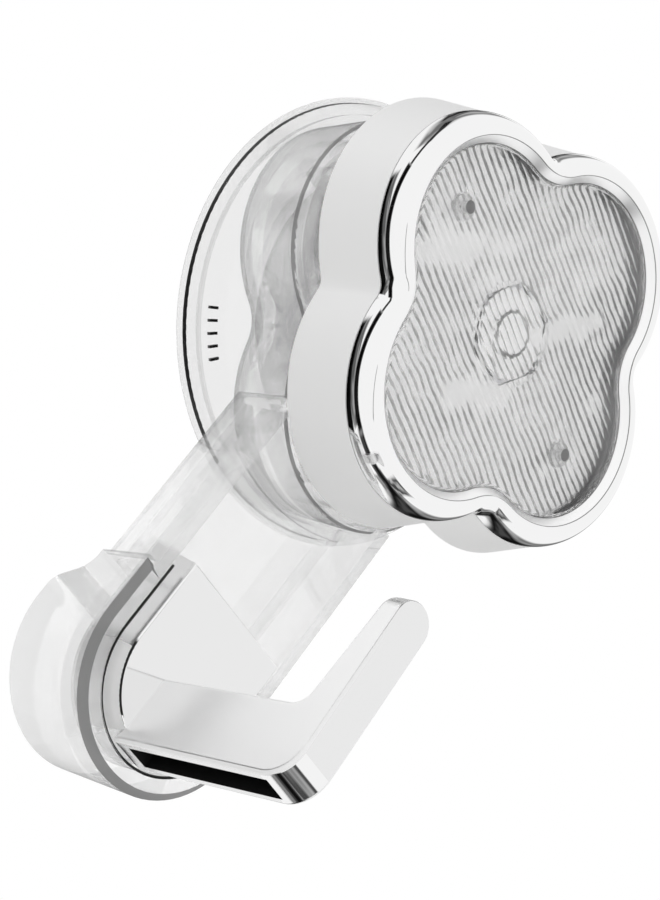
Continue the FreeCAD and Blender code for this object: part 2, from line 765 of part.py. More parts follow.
def build_end_screw():
    """Pan-head screw in the stud's end, seen dark behind the lens."""
    body = new_body("end_screw")
    pad_between(body, "head", lambda sketch: draw_circle(sketch, "end_screw_head"),
                "end_washer_front", "end_screw_front")
    pad_between(body, "shank", lambda sketch: draw_circle(sketch, "end_screw_radius"),
                dim("stud_front") - dim("end_screw_length"), "end_washer_front")
    front = dim("end_screw_front").value
    round_edges(body, "head_round", 0.6, lambda edge: at_depth(edge, front))
    return body


def screw_group(name, spots, head, shank, head_rear, head_front, shank_rear, shank_front):
    """Equal screws as one group of separate solids; each is a head and a shank."""
    solids = []
    for index, (across, up) in enumerate(spots, start=1):
        parts = []
        for part, radius, rear, front in (("head", head, head_rear, head_front),
                                          ("shank", shank, shank_rear, shank_front)):
            rear, front, radius = dim(rear), dim(front), dim(radius)
            piece = doc.addObject("Part::Cylinder", "%s_%s_%d" % (name, part, index))
            piece.setExpression("Radius", radius.text)
            piece.setExpression("Height", (front - rear).text)
            piece.Placement = FreeCAD.Placement(Vector(0, 0, 0),
                                                FreeCAD.Rotation(Vector(1, 0, 0), 90))
            piece.setExpression("Placement.Base.x", dim(across).text)
            piece.setExpression("Placement.Base.y", (-rear).text)
            piece.setExpression("Placement.Base.z", dim(up).text)
            parts.append(piece)
        screw = doc.addObject("Part::Fuse", "%s_%d" % (name, index))
        screw.Base, screw.Tool = parts
        solids.append(screw)
    group = doc.addObject("Part::Compound", name)
    group.Links = solids
    group.Label = name
    doc.recompute()
    return group


def build_lens_screws():
    """Two small screws from behind the knob's web into the bosses of the lens."""
    return screw_group("lens_screws", screw_spots("screw_distance"),
                       "lens_screw_head", "lens_screw_radius",
                       "lens_screw_rear", "knob_web_rear", "knob_web_rear", "lens_screw_front")


def build_hook():
    """Plated casting: a hollow U-shaped plate and a J-shaped band with a cored slot below."""
    body = new_body("hook")
    centre = -dim("end_centre") + 0.1
    plate_u = lambda sketch: draw_u(sketch, "plate_half", centre, -dim("plate_top"))
    pad_between(body, "plate", plate_u, "arm_floor_front", "plate_front", -dim("plate_draft"))
    front = dim("plate_front")
    round_edges(body, "plate_edge", "plate_edge", lambda edge: at_depth(edge, front))
    wall = dim("plate_wall")
    core = lambda sketch: draw_u(sketch, dim("plate_half") - wall, centre, -dim("plate_top") - wall)
    pocket_between(body, "plate_core", core, "arm_floor_front", front - wall, -dim("plate_draft"))
    # side view of the J, as wide as the band
    half = dim("band_half")
    side_view = new_sketch(body, "band_profile", plane="YZ_Plane", offset=-half)
    root = front - 0.8
    draw_polygon(side_view, [
        (-root, -dim("band_top_root")),
        (-dim("upright_rear_low"), -dim("band_top_bend")),
        (-dim("upright_rear_high"), -dim("upright_top")),
        (-dim("upright_front_high"), -dim("upright_top")),
        (-dim("upright_front_low"), -dim("band_bottom_bend")),
        (-root, -dim("band_bottom_root")),
    ])
    extrude(body, "Pad", "band", side_view, half * 2)
    across = lambda edge: edge.BoundBox.XLength > 4 and edge.BoundBox.ZLength < 0.01
    round_edges(body, "bend_inside", "bend_inside",
                lambda edge: across(edge) and near(edge, "upright_rear_low", "band_top_bend"))
    round_edges(body, "bend_outside", "bend_outside",
                lambda edge: across(edge) and near(edge, "upright_front_low", "band_bottom_bend"))
    top = dim("upright_top").value
    round_edges(body, "tip_round", "tip_round",
                lambda edge: edge.BoundBox.XLength < 0.01 and abs(edge.BoundBox.ZMin + top) < 0.01
                and abs(edge.BoundBox.ZMax + top) < 0.01)
    # long edges of the band, both sides
    side_x = dim("band_half").value
    round_edges(body, "band_edges", "edge_round",
                lambda edge: abs(abs(edge.BoundBox.XMin) - side_x) < 0.01
                and edge.BoundBox.XLength < 0.01 and edge.BoundBox.YMax < -front.value - 0.5
                and edge.BoundBox.ZLength > 1.0)
    # cored slot in the underside
    slot = new_sketch(body, "slot_outline", plane="XY_Plane", offset=-dim("band_bottom_root") - 2.0)
    draw_box(slot, -dim("slot_half"), "slot_half", -dim("slot_front"), -dim("slot_rear"))
    extrude(body, "Pocket", "slot", slot, dim("band_bottom_root") + 2.0 - dim("slot_floor"),
            reverse=True)
    return body


def near(edge, depth, drop):
    """Whether an edge lies at a depth from the wall and a drop below the cup's centre."""
    middle = edge.CenterOfMass
    return abs(middle.y + dim(depth).value) < 0.1 and abs(middle.z + dim(drop).value) < 0.1


def check(piece):
    """Stop if an object of the document failed, or a sub-part's shape isn't sound."""
    shape = piece.Shape
    if shape.isNull() or not shape.isValid() or not shape.Solids:
        raise RuntimeError("%s has no sound shape" % piece.Label)


pieces = [
    build_suction_cup(),
    build_pull_stud(),
    build_housing(),
    build_thrust_washer(),
    build_knob(),
    build_knob_nut(),
    build_reflector(),
    build_lens(),
    build_trim_ring(),
    build_end_washer(),
    build_end_screw(),
    build_lens_screws(),
    build_hook(),
]
doc.recompute()
for item in doc.Objects:
    if "Invalid" in item.State or "Error" in item.State:
        raise RuntimeError("%s failed" % item.Name)
os.makedirs("parts", exist_ok=True)
for piece in pieces:
    check(piece)
    piece.Shape.exportStep("parts/%s.step" % piece.Label)
    box = piece.Shape.BoundBox
    print("%-16s solids %d  volume %8.1f  Y %6.1f to %6.1f  Z %6.1f to %6.1f" % (
        piece.Label, len(piece.Shape.Solids), piece.Shape.Volume,
        box.YMin, box.YMax, box.ZMin, box.ZMax))
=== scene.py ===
# %% [markdown]
# # A suction cup hook, dressed over its imported parts
#
# The object is a twist-lock suction cup hook for a smooth wall. A clear soft cup sits on the wall,
# a clear stiff housing stands over it, and a plated clover-shaped knob pulls the cup's middle
# outwards when it is turned. An arm moulded in one piece with the housing hangs below it and
# carries a plated J-shaped hook. This lesson takes the imported model as a fixed frame and gives
# each piece its surface.

# %% Load the frame
import bpy
import bmesh
import math
from mathutils import Matrix, Quaternion, Vector, noise


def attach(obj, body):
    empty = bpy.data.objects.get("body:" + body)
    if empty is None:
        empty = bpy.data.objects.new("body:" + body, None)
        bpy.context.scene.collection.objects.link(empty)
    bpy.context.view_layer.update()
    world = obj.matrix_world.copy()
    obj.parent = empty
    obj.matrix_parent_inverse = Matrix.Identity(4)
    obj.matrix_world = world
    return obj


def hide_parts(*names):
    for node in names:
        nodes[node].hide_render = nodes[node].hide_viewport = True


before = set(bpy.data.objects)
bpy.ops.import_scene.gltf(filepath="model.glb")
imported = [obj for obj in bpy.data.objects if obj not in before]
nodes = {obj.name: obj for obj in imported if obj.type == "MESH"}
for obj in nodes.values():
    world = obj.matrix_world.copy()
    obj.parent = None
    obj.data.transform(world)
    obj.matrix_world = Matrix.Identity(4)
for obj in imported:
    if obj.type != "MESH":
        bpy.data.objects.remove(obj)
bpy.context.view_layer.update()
scene = bpy.context.scene
MM = 0.001

# %% [markdown]
# ## The camera
#
# The photograph is taken from the lower left, close enough to show perspective. The camera's place
# and turn come from a fit of the object's own circles and edges to the photograph. A camera in
# Blender looks along its own -Z with +Y up, so the columns of its matrix are the directions of the
# picture's right, up and back, written in the object's frame.

# %% Camera
PHOTO_LONG_SIDE = 900
FOCAL_PIXELS = 2280.98
EYE_MM = (-166.103, -245.952, -157.497)
RIGHT = (0.491127, -0.672869, 0.553211)
DOWN = (0.692254, -0.084010, -0.716747)
AHEAD = (0.528752, 0.734976, 0.424537)

camera_data = bpy.data.cameras.new("camera")
camera_data.sensor_width = 36.0
camera_data.lens = camera_data.sensor_width * FOCAL_PIXELS / PHOTO_LONG_SIDE
camera = bpy.data.objects.new("camera", camera_data)
scene.collection.objects.link(camera)
turn = Matrix((RIGHT, [-v for v in DOWN], [-v for v in AHEAD])).transposed()
camera.matrix_world = Matrix.Translation(Vector(EYE_MM) * MM) @ turn.to_4x4()
scene.camera = camera
scene.view_settings.view_transform = "Standard"
# light crosses many walls of the clear pieces, also after it has met the plating
BOUNCES = 40
scene.cycles.max_bounces = BOUNCES
scene.cycles.transmission_bounces = BOUNCES
scene.cycles.glossy_bounces = BOUNCES
scene.cycles.transparent_max_bounces = BOUNCES
print("camera lens %.1f mm" % camera_data.lens)

# %% [markdown]
# ## Light: a white studio with dark strips
#
# Polished plating has no colour of its own: it shows the room. In an all-white room it would
# vanish, so dark strips, called flags, stand round the product and draw its edges. Each flag here
# is a bent strip that runs through a few directions from the knob. It has tones of its own and
# soft edges, and only reflections can see it. It could be a dark picture round the scene, but a
# strip is easier to move and has a real place. The world is white for the camera, for reflections
# and for rays through the clear plastic.

# %% Helpers for colours and nodes
def linear(code):
    """An sRGB hex colour as linear RGBA."""
    values = [int(code[i:i + 2], 16) / 255 for i in (1, 3, 5)]
    return [v / 12.92 if v <= 0.04045 else ((v + 0.055) / 1.055) ** 2.4 for v in values] + [1.0]


def add(tree, kind, links=(), **settings):
    """Add a node; settings name its properties or its inputs, links are (input, output socket)."""
    node = tree.nodes.new(kind)
    for name, value in settings.items():
        if hasattr(node, name):
            setattr(node, name, value)
        else:
            node.inputs[name.replace("_", " ")].default_value = value
    for name, source in links:
        tree.links.new(source, node.inputs[name])
    return node


def blank(name):
    """A material with an empty node tree."""
    material = bpy.data.materials.new(name)
    material.use_nodes = True
    material.node_tree.nodes.clear()
    return material, material.node_tree


print("white is", linear("#FFFFFF"))

# %% World
WORLD_LIGHT = 0.9

world = bpy.data.worlds.new("white_studio")
world.use_nodes = True
tree = world.node_tree
tree.nodes.clear()
path = add(tree, "ShaderNodeLightPath")
seen = add(tree, "ShaderNodeMath", [(0, path.outputs["Is Camera Ray"]),
                                    (1, path.outputs["Is Transmission Ray"])], operation="MAXIMUM")
shown = add(tree, "ShaderNodeMath", [(0, seen.outputs[0]),
                                     (1, path.outputs["Is Glossy Ray"])], operation="MAXIMUM")
studio = add(tree, "ShaderNodeBackground", Color=linear("#FFFFFF"), Strength=WORLD_LIGHT)
backdrop = add(tree, "ShaderNodeBackground", Color=linear("#FFFFFF"), Strength=1.0)
mix = add(tree, "ShaderNodeMixShader", [(0, shown.outputs[0]), (1, studio.outputs[0]),
                                        (2, backdrop.outputs[0])])
add(tree, "ShaderNodeOutputWorld", [("Surface", mix.outputs[0])])
scene.world = world
print("world light", WORLD_LIGHT)

# %% Floor, far below
FLOOR_DROP, FLOOR_HALF = 2.0, 4.0

pale, tree = blank("pale_floor")
shade = add(tree, "ShaderNodeBsdfDiffuse", Color=linear("#F8F8F7"))
backdrop = add(tree, "ShaderNodeEmission", Color=linear("#FFFFFF"), Strength=1.0)
path = add(tree, "ShaderNodeLightPath")
shown = add(tree, "ShaderNodeMath", [(0, path.outputs["Is Glossy Ray"]),
                                     (1, path.outputs["Is Transmission Ray"])], operation="MAXIMUM")
mix = add(tree, "ShaderNodeMixShader", [(0, shown.outputs[0]), (1, shade.outputs[0]),
                                        (2, backdrop.outputs[0])])
add(tree, "ShaderNodeOutputMaterial", [("Surface", mix.outputs[0])])


def add_stage(name, vertices, faces, material):
    """A mesh of the studio, which isn't part of the object."""
    mesh = bpy.data.meshes.new(name)
    mesh.from_pydata(vertices, [], faces)
    mesh.materials.append(material)
    thing = bpy.data.objects.new(name, mesh)
    scene.collection.objects.link(thing)
    return thing


floor = [(x, y, -FLOOR_DROP) for x, y in ((-1, -1), (1, -1), (1, 1), (-1, 1))]
add_stage("floor", [(x * FLOOR_HALF, y * FLOOR_HALF, z) for x, y, z in floor], [(0, 1, 2, 3)], pale)
print("floor at -%g m" % FLOOR_DROP)

# %% Flags with soft edges and an uneven tone
def flag_material(name, dark, light, soft):
    """A strip that glows between two tones and fades out towards its edges and ends."""
    material, tree = blank(name)
    place = add(tree, "ShaderNodeTexCoord").outputs["UV"]
    cloud = add(tree, "ShaderNodeTexNoise", [("Vector", place)], Scale=3.0, Detail=1.0)
    level = add(tree, "ShaderNodeMapRange", [("Value", cloud.outputs["Fac"])],
                interpolation_type="SMOOTHSTEP", From_Min=0.4, From_Max=0.62)
    tone = add(tree, "ShaderNodeMix", [("Factor", level.outputs[0])], data_type="RGBA")
    tone.inputs[6].default_value = linear(dark)
    tone.inputs[7].default_value = linear(light)
    glow = add(tree, "ShaderNodeEmission", [("Color", tone.outputs[2])], Strength=1.0)
    centred = add(tree, "ShaderNodeVectorMath", [(0, place)], operation="SUBTRACT")
    centred.inputs[1].default_value = (0.5, 0.5, 0.0)
    split = add(tree, "ShaderNodeVectorMath", [(0, centred.outputs[0])], operation="ABSOLUTE")
    parts = add(tree, "ShaderNodeSeparateXYZ", [(0, split.outputs[0])])
    side = add(tree, "ShaderNodeMapRange", [("Value", parts.outputs[1])],
               interpolation_type="SMOOTHSTEP", From_Min=0.5 - soft / 2, From_Max=0.5)
    tip = add(tree, "ShaderNodeMapRange", [("Value", parts.outputs[0])],
              interpolation_type="SMOOTHSTEP", From_Min=0.44, From_Max=0.5)
    gone = add(tree, "ShaderNodeMath", [(0, side.outputs[0]), (1, tip.outputs[0])],
               operation="MAXIMUM")
    nothing = add(tree, "ShaderNodeBsdfTransparent")
    mixed = add(tree, "ShaderNodeMixShader", [(0, gone.outputs[0]), (1, glow.outputs[0]),
                                              (2, nothing.outputs[0])])
    add(tree, "ShaderNodeOutputMaterial", [("Surface", mixed.outputs[0])])
    return material


KNOB_FACE = Vector((0.0, -0.033, 0.0))
TURN_STEPS = 6


def direction(azimuth, elevation):
    """A unit vector: azimuth 0 is out from the wall and 90 is to the right, in degrees."""
    az, el = math.radians(azimuth), math.radians(elevation)
    return Vector((math.sin(az) * math.cos(el), -math.cos(az) * math.cos(el), math.sin(el)))


def ribbon(name, route, width, distance, material):
    """A bent strip at a distance round the knob, through directions, width in degrees."""
    rays = []
    for start, end in zip(route, route[1:]):
        turn = direction(*start).rotation_difference(direction(*end))
        for step in range(TURN_STEPS):
            rays.append(Quaternion().slerp(turn, step / TURN_STEPS) @ direction(*start))
    rays.append(direction(*route[-1]))
    half = math.tan(math.radians(width / 2))
    vertices = []
    for index, ray in enumerate(rays):
        ahead = rays[min(index + 1, len(rays) - 1)] - rays[max(index - 1, 0)]
        aside = ray.cross(ahead).normalized() * half
        vertices += [KNOB_FACE + (ray + reach) * distance for reach in (-aside, aside)]
    faces = [(i, i + 1, i + 3, i + 2) for i in range(0, len(vertices) - 2, 2)]
    strip = add_stage(name, vertices, faces, material)
    layer = strip.data.uv_layers.new(name="strip")
    for loop in strip.data.loops:
        share = (loop.vertex_index // 2) / (len(rays) - 1)
        layer.data[loop.index].uv = (share, loop.vertex_index % 2)
    strip.visible_camera = False
    strip.visible_diffuse = False
    strip.visible_transmission = False
    strip.visible_shadow = False
    return strip


print("straight out is", direction(0, 0))

# %% Flags: route as azimuth and elevation, width in degrees, distance in metres, tones, softness
FLAGS = {
    "left": ([(-95, 15), (-97, 3), (-104, -32), (-107, -56), (-114, -80)],
             18, 0.9, "#060606", "#1C1C1C", 0.4),
    "left_high": ([(-93, 12), (-91, 24), (-92, 38), (-102, 50), (-130, 58)],
                  9, 0.9, "#101010", "#383838", 0.5),
    "below": ([(-112, -70), (92, -76), (80, -58), (94, -45), (110, -31), (122, -15), (134, 14)],
              22, 0.9, "#101010", "#484848", 0.5),
    "top": ([(-140, 54), (172, 50), (158, 44), (145, 37)], 12, 0.9, "#262626", "#808080", 0.5),
    "high": ([(-98, 30), (-112, 46), (-140, 56), (176, 60), (160, 54)],
             30, 1.0, "#747474", "#B4B4B4", 0.6),
    "back": ([(-134, 12), (-135, -20), (-143, -39), (-158, -50), (-178, -51)],
             24, 0.9, "#040404", "#101010", 0.4),
    "left_grey": ([(-126, 10), (-121, -20), (-122, -50), (-135, -70)],
                  24, 1.0, "#606060", "#A8A8A8", 0.3),
    "below_grey": ([(96, -70), (88, -50), (106, -30), (120, -10), (134, 28)],
                   36, 1.0, "#7A7A7A", "#A4A4A4", 0.4),
    "front": ([(-16, -3), (-5, -33)], 4, 0.9, "#505050", "#909090", 0.5),
    "corner": ([(76, -51), (64, -47), (52, -38), (43, -22)], 22, 0.9, "#484848", "#B8B8B8", 0.5),
}
for name, (route, width, distance, dark, light, soft) in FLAGS.items():
    ribbon("flag_" + name, route, width, distance, flag_material("flag_" + name, dark, light, soft))
print("flags:", sorted(FLAGS))

# %% [markdown]
# ## Finishes
#
# The ring and the hook are polished chrome, over moulded plastic and over a zinc casting. The
# knob's skirt is the same moulding with a satin silver coat. The housing is clear polycarbonate
# and the cup is soft clear vinyl, a little cloudier. Every finish gets fine detail at its real
# scale: a slow waviness of the surface, or the grain left by turning and moulding.

# %% One builder for every finish
MM_IN_METRE = 1000.0
# size of the patches of uneven roughness, as a share of the waves'
MOTTLE_SHARE = 0.6


def finish(name, code, wave, grain, rough, spread, through=0.0, edge=None, **settings):
    """A surface: wave and grain are (size of the detail, its height), both in mm.

    rough is the roughness, varied by spread. through is the share of light that goes straight
    through a clear plastic, and edge is its colour where the wall is seen edge on.
    """
    material, tree = blank(name)
    shader = add(tree, "ShaderNodeBsdfPrincipled", Base_Color=linear(code), **settings)
    place = add(tree, "ShaderNodeTexCoord").outputs["Object"]
    normal = None
    for size, height in (wave, grain):
        relief = add(tree, "ShaderNodeTexNoise", [("Vector", place)],
                     Scale=MM_IN_METRE / size, Detail=3.0)
        bump = add(tree, "ShaderNodeBump", [("Height", relief.outputs["Fac"])],
                   Distance=height * MM, Strength=1.0)
        if normal:
            tree.links.new(normal, bump.inputs["Normal"])
        normal = bump.outputs["Normal"]
    tree.links.new(normal, shader.inputs["Normal"])
    mottle = add(tree, "ShaderNodeTexNoise", [("Vector", place)],
                 Scale=MM_IN_METRE / (wave[0] * MOTTLE_SHARE))
    level = add(tree, "ShaderNodeMapRange", [("Value", mottle.outputs["Fac"])],
                To_Min=max(rough - spread, 0.0), To_Max=rough + spread)
    tree.links.new(level.outputs[0], shader.inputs["Roughness"])
    surface = shader.outputs[0]
    if through:
        tilt = add(tree, "ShaderNodeLayerWeight", Blend=0.5)
        steep = add(tree, "ShaderNodeMath", [(0, tilt.outputs["Facing"])], operation="POWER")
        steep.inputs[1].default_value = 5.0
        tint = add(tree, "ShaderNodeMix", [("Factor", steep.outputs[0])], data_type="RGBA")
        tint.inputs[6].default_value = linear(code)
        tint.inputs[7].default_value = linear(edge)
        straight = add(tree, "ShaderNodeBsdfTransparent", [("Color", tint.outputs[2])])
        surface = add(tree, "ShaderNodeMixShader", [(1, surface), (2, straight.outputs[0])],
                      Fac=through).outputs[0]
    add(tree, "ShaderNodeOutputMaterial", [("Surface", surface)])
    return material


# chrome over a polished undercoat: long, faint waves
chrome = finish("polished_chrome_plating", "#F3F3F3", (14.0, 0.02), (1.5, 0.0008), 0.05, 0.015,
                Metallic=1.0)
# the same plating over a zinc casting, whose skin stays a little softer
cast_chrome = finish("chrome_over_zinc_casting", "#E9E9E9", (14.0, 0.03), (0.8, 0.001), 0.24, 0.03,
                     Metallic=1.0)
# the band's flat sides and the ring's inner bevel: the cast plating, softer and in a lighter tone,
# which is painted light
painted_light_plating = finish("painted_light_chrome_side", "#FAFAFA", (14.0, 0.03), (0.8, 0.001), 0.3, 0.03,
                   Metallic=1.0)
# the plate's flat front, polished like a mirror, in which the band stands again
mirror_front = finish("polished_chrome_front", "#E9E9E9", (14.0, 0.01), (1.5, 0.0005), 0.05, 0.015,
                      Metallic=1.0)
# satin silver coat on the moulded knob; on the rounded edges of the hook's casting its near white is
# painted light, in place of their bright reflection
satin_and_edge_light = finish("satin_silver_coat_and_painted_edge_light", "#F7F7F7", (9.0, 0.02), (0.3, 0.002), 0.55, 0.04, Metallic=0.2)
# injection-moulded clear polycarbonate
clear = finish("clear_polycarbonate", "#FAFAFA", (20.0, 0.03), (2.0, 0.001), 0.03, 0.02,
               through=0.62, edge="#6E6E6E", Transmission_Weight=1.0, IOR=1.58)
# soft clear vinyl, slightly cloudy
vinyl = finish("soft_clear_vinyl", "#F5F5F5", (12.0, 0.05), (1.2, 0.004), 0.1, 0.04,
               through=0.55, edge="#6A6A6A", Transmission_Weight=1.0, IOR=1.53)
# clear acrylic of the lens
acrylic = finish("clear_acrylic", "#FCFCFC", (16.0, 0.01), (2.0, 0.0005), 0.015, 0.01,
                 through=0.15, edge="#C8C8C8", Transmission_Weight=1.0, IOR=1.49)
# turned and plated steel of the stud, nut, washer and screws
steel = finish("plated_steel", "#D6D6D8", (4.0, 0.02), (0.2, 0.003), 0.14, 0.05, Metallic=1.0)
# white acetal, a slippery moulded plastic
acetal = finish("white_acetal", "#EFEFEC", (6.0, 0.02), (0.4, 0.004), 0.4, 0.05)
# thin bright plate behind the lens, slightly dented, and what the lens shows round it
foil = finish("bright_aluminium_plate", "#ECECEC", (7.0, 0.25), (1.0, 0.004), 0.08, 0.03,
              Metallic=1.0)
# blued steel of the small screws' points, which show through the lens as grey dots
blued = finish("blued_steel_point", "#8A8A8A", (1.0, 0.01), (0.2, 0.002), 0.5, 0.1)
# near black of the painted shade line round the hook's seat
painted_seat_shade = finish("painted_seat_shade_line", "#0C0C0C", (2.0, 0.01), (0.2, 0.002), 0.5, 0.1)
# both edges of the ring's bevel, in a darker grey plating: a painted shade line along each edge
painted_bevel_line = finish("painted_shade_bevel_edge", "#8C8C8C", (2.0, 0.01), (0.3, 0.002), 0.35, 0.05, Metallic=1.0)
# painted shade, near black: in the cored slot under the band and on the foot of the plate's edge
painted_near_black = finish("painted_shade_slot_and_plate_foot", "#060606", (2.0, 0.03), (0.3, 0.01), 0.7, 0.1)
FINISHES = {
    "suction_cup": vinyl, "housing": clear, "fluted_lens": acrylic,
    "knob": satin_and_edge_light, "trim_ring": chrome, "hook": cast_chrome,
    "pull_stud": steel, "end_washer": chrome, "end_screw": chrome,
    "lens_screws": steel, "knob_nut": steel,
    "thrust_washer": acetal, "reflector_plate": foil,
}
for name, material in FINISHES.items():
    mesh = nodes[name].data
    mesh.materials.clear()
    mesh.materials.append(material)
print("finishes on", len(FINISHES), "nodes")

# %% [markdown]
# ## Faces with a finish of their own
#
# A moulding or a casting rarely looks the same all over: a bevel keeps the texture of its mould.
# Other faces carry painted light and shade: the band's sides a lighter copy of the plating, the
# cored slot and the foot of the plate's edge near black, and thin edges dark and grey lines. Each
# such face is found by its place, in mm, and its direction. It could be a painted mask, but a rule
# in real sizes also holds when the mesh is made anew.

# %% Finishes for single faces
# the bevel of the arm's end, left with the fine texture of a spark-eroded mould; its mid grey is
# painted shade
textured_painted_grey = finish("textured_polycarbonate_painted_grey", "#8E8E8E", (3.0, 0.01), (0.15, 0.004), 0.5, 0.08,
                 through=0.25, edge="#707070")
# the small rounds of the case, painted grey: painted shade for the grey lines they show
painted_grey_rounds = finish("painted_grey_clear_round", "#9C9C9C", (3.0, 0.01), (0.3, 0.002), 0.2, 0.05,
                    through=0.5, edge="#A0A0A0")
# painted shade, near black, on the thin chamfer round the hook's seat and the cup's bead, where the
# edge shows dark, and on the cup's grip ribs
painted_dark_shade = finish("painted_shade_clear_plastic", "#161616", (3.0, 0.01), (0.3, 0.002), 0.3, 0.1)


def paint_faces(node, material, chosen):
    """Give the faces of a CAD node for which chosen(centre, normal) is true their own material."""
    mesh = nodes[node].data
    mesh.materials.append(material)
    index = len(mesh.materials) - 1
    count = 0
    for face in mesh.polygons:
        if chosen(face.center / MM, face.normal):
            face.material_index = index
            count += 1
    print("%s: %d faces of %s" % (material.name, count, node))


def between(value, limits):
    return limits[0] < value < limits[1]


# %% Choosers for the hook
# a direction is square to an axis past SQUARE, and slanted between the two limits of SLANTED
SQUARE, SLANTED = 0.9, (0.3, 0.95)
SLOT_HALF, SLOT_Y, SLOT_Z = 1.95, (-48.1, -22.5), (-77.3, -69.5)
SLOT_FLOOR, SLOT_ROOF = -76.5, -70.0
HOOK_TOP, BAND_REAR, BAND_HALF = -60.0, -22.0, 3.3
PLATE_ROUND, PLATE_FRONT, PLATE_FOOT = (-21.6, -21.1), (-21.6, -21.4), (-74.5, -66.5)
BEND_Y, BEND_Z = -46.0, -70.0


def in_slot(centre, normal):
    """Side walls, ends and roof of the cored slot under the band."""
    inside = abs(centre.x) < SLOT_HALF and between(centre.y, SLOT_Y) and between(centre.z, SLOT_Z)
    end = abs(normal.y) > SQUARE and centre.z > SLOT_FLOOR
    roof = normal.z < -SQUARE and centre.z > SLOT_ROOF
    return inside and (abs(normal.x) > SQUARE or end or roof)


def on_edge(centre, normal):
    """Rounds along the band, between its sides and its top or underside."""
    slanted = abs(normal.x) > 0.25 and math.hypot(normal.y, normal.z) > 0.25
    return slanted and centre.z < HOOK_TOP


def on_plate_edge(centre, normal):
    """The small round between the plate's front and its rim."""
    beside = between(centre.y, PLATE_ROUND) and abs(centre.x) > BAND_HALF
    return beside and 0.2 < -normal.y < 0.97


def on_plate_front(centre, normal):
    """The plate's flat front."""
    return between(centre.y, PLATE_FRONT) and normal.y < -0.97


def on_plate_bend(centre, normal):
    """The part of the plate's round where its straight sides go over into the foot."""
    return on_plate_edge(centre, normal) and between(centre.z, PLATE_FOOT)


def on_side(centre, normal):
    """The band's two flat sides."""
    return abs(normal.x) > 0.95 and centre.y < BAND_REAR


def on_bend(centre, normal):
    """The outside of the band's bend, which faces down and outwards."""
    outside = -normal.y > 0.05 and -normal.z > 0.05 and abs(normal.x) < 0.1
    return outside and centre.y < BEND_Y and centre.z < BEND_Z


print("the slot is %.1f mm wide" % (2 * SLOT_HALF))

# %% Choosers for the housing, the cup, the knob and the screws
SEAT_MIDDLE, ARM_STRAIGHT = -65.6, -57.4
BEVEL_Y, BEVEL_RADIUS = (-20.12, -19.08), 13.0
CHAMFER_Y, CHAMFER_RADIUS = (-20.12, -19.8), 12.6
CASE_FOOT, CASE_REAR = -50.0, -5.0
BEAD_Y, BEAD_RADIUS, BEAD_WIDTH = (-1.15, -0.1), 32.0, 0.14
WEB_Y, RECESS_Y = (-29.6, -27.0), (-31.5, -28.0)
TIP_Y, SHANK_Y = -33.1, -28.0


def from_seat(centre):
    """Distance from the middle line of the arm's U-shaped end."""
    return math.hypot(centre.x, min(centre.z - SEAT_MIDDLE, 0.0))


def on_bevel(centre, normal):
    """The wide bevel round the arm's end."""
    slanted = between(-normal.y, SLANTED) and centre.z < ARM_STRAIGHT
    return slanted and between(centre.y, BEVEL_Y) and from_seat(centre) > BEVEL_RADIUS


def on_seat(centre, normal):
    """The thin chamfer round the hook's seat."""
    slanted = between(-normal.y, SLANTED) and centre.z < ARM_STRAIGHT
    return slanted and between(centre.y, CHAMFER_Y) and from_seat(centre) < CHAMFER_RADIUS


def on_round(centre, normal):
    """The small rounds of the clover-shaped case."""
    return between(abs(normal.y), SLANTED) and centre.z > CASE_FOOT and centre.y < CASE_REAR


def on_bead(centre, normal):
    """The outside of the bead round the cup."""
    off = abs(math.hypot(centre.x, centre.z) - BEAD_RADIUS)
    return between(centre.y, BEAD_Y) and off < BEAD_WIDTH and abs(normal.y) < 0.6


def on_web(centre, normal):
    """The knob's web, behind the plate."""
    return between(centre.y, WEB_Y) and normal.y < -SQUARE


def in_recess(centre, normal):
    """The wall of the recess that holds the lens."""
    inwards = centre.x * normal.x + centre.z * normal.z < 0
    return between(centre.y, RECESS_Y) and abs(normal.y) < 0.5 and inwards


def on_tip(centre, normal):
    """The ends of the small screws."""
    return centre.y < TIP_Y and normal.y < -SQUARE


def on_shank(centre, normal):
    """The sides of the small screws."""
    return centre.y < SHANK_Y and abs(normal.y) < 0.5


# where two choosers pick the same face, the later one holds
# painted light: the hook's rounded edges take the knob's near white satin coat
paint_faces("hook", satin_and_edge_light, on_edge)
paint_faces("hook", chrome, on_bend)
paint_faces("hook", chrome, on_plate_edge)
paint_faces("hook", mirror_front, on_plate_front)
# painted shade: near black on the foot of the plate's edge
paint_faces("hook", painted_near_black, on_plate_bend)
# painted light: the band's flat sides take a lighter copy of the plating
paint_faces("hook", painted_light_plating, on_side)
# painted shade: near black in the cored slot
paint_faces("hook", painted_near_black, in_slot)
paint_faces("knob", foil, on_web)
paint_faces("knob", foil, in_recess)
paint_faces("lens_screws", foil, on_shank)
paint_faces("lens_screws", blued, on_tip)
# painted shade: grey on the case's small rounds
paint_faces("housing", painted_grey_rounds, on_round)
# the bevel's texture is the mould's, its grey is painted shade
paint_faces("housing", textured_painted_grey, on_bevel)
# painted shade: near black on the seat's chamfer and the cup's bead
paint_faces("housing", painted_dark_shade, on_seat)
paint_faces("suction_cup", painted_dark_shade, on_bead)

# %% [markdown]
# ## The clover outline
#
# The ring and the lens follow the same kind of outline: four round lobes joined by hollow arcs.
# One function gives the distance from the axis to that outline at any angle, so that a surface
# can be built as a stack of outlines at different depths.

# %% Clover outline and a surface through a stack of loops
KNOB_TURN = math.radians(-12.5)
STEPS = 720
RING_DISTANCE, RING_LOBE, RING_NOTCH = 14.3, 17.65, 2.4
SHARP_FROM = math.radians(28)


